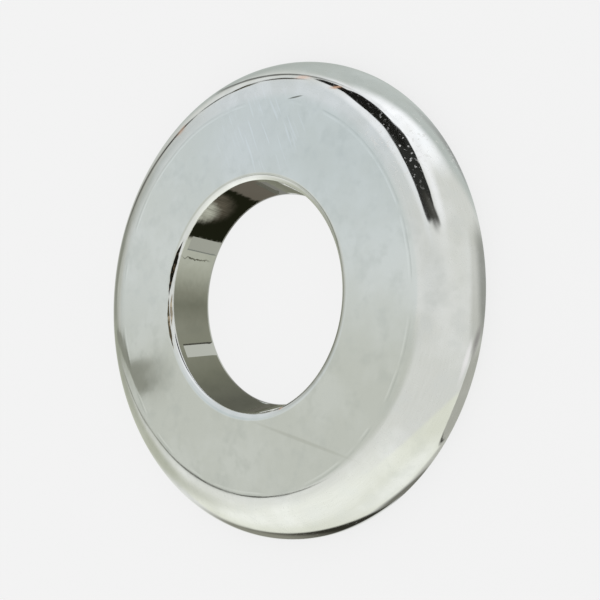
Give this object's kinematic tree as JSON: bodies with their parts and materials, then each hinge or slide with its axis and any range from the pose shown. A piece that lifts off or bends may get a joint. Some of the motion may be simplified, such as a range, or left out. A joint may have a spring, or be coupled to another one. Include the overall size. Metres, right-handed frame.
{
  "type": "pipe rosette",
  "caption": "Chrome-plated round wall rosette: a shallow hollow ring with a flat face, rolled rim and a slit spring collar that grips a pipe and hides the hole in the wall.",
  "frame": {"origin": "centre of the wall plane, on the axis of the pipe", "axes": "+Z along the pipe, away from the wall; +X through the middle of one slit of the collar"},
  "size_m": [0.06, 0.06, 0.0058],
  "materials": {
    "chrome_plate": "polished chrome plate on thin sheet, with light hairline scratches and smudges"
  },
  "bodies": {
    "root": {"rosette": "chrome_plate"}
  },
  "joints": []
}
